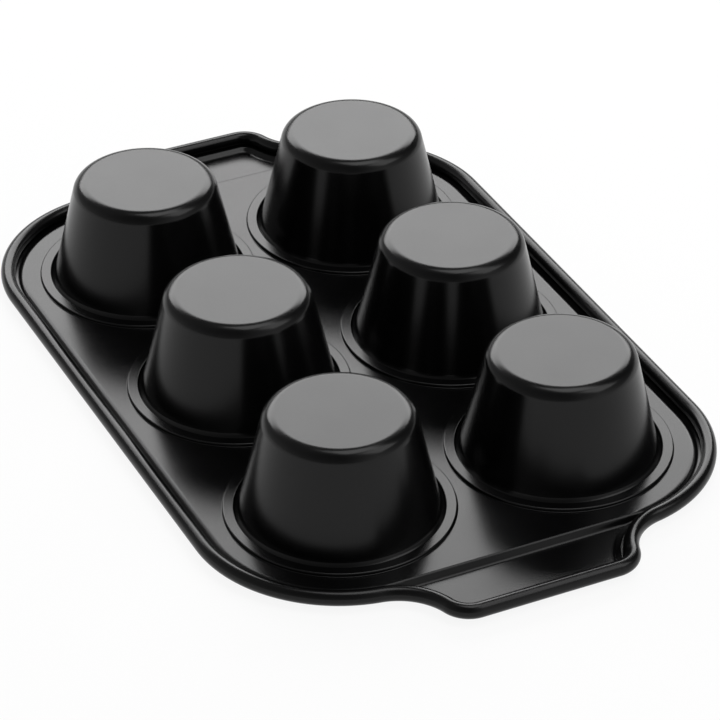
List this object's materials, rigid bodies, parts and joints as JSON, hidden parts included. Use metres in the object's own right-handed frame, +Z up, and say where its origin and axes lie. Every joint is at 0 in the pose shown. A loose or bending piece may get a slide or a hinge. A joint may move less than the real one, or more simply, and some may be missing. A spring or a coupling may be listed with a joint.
{
  "type": "popover pan",
  "caption": "Pressed-sheet popover pan with deep tapered cups seamed into a tray, a rim rolled over a wire and a wide handle at each end, lying upside down.",
  "frame": {"origin": "centre of the bounding box, on the surface that the pan lies on, under its two handles", "axes": "+Z up, towards the cup bases; +X along the pan's length, handle to handle; +Y across the pan"},
  "size_m": [0.4, 0.2426, 0.0536],
  "materials": {
    "coating": "satin near-black nonstick coating on steel sheet",
    "wire": "plain drawn wire, hidden inside the rim"
  },
  "bodies": {
    "root": {"tray_plate": "coating", "rim_wire": "wire", "cup_1": "coating", "cup_2": "coating", "cup_3": "coating", "cup_4": "coating", "cup_5": "coating", "cup_6": "coating"}
  },
  "joints": []
}
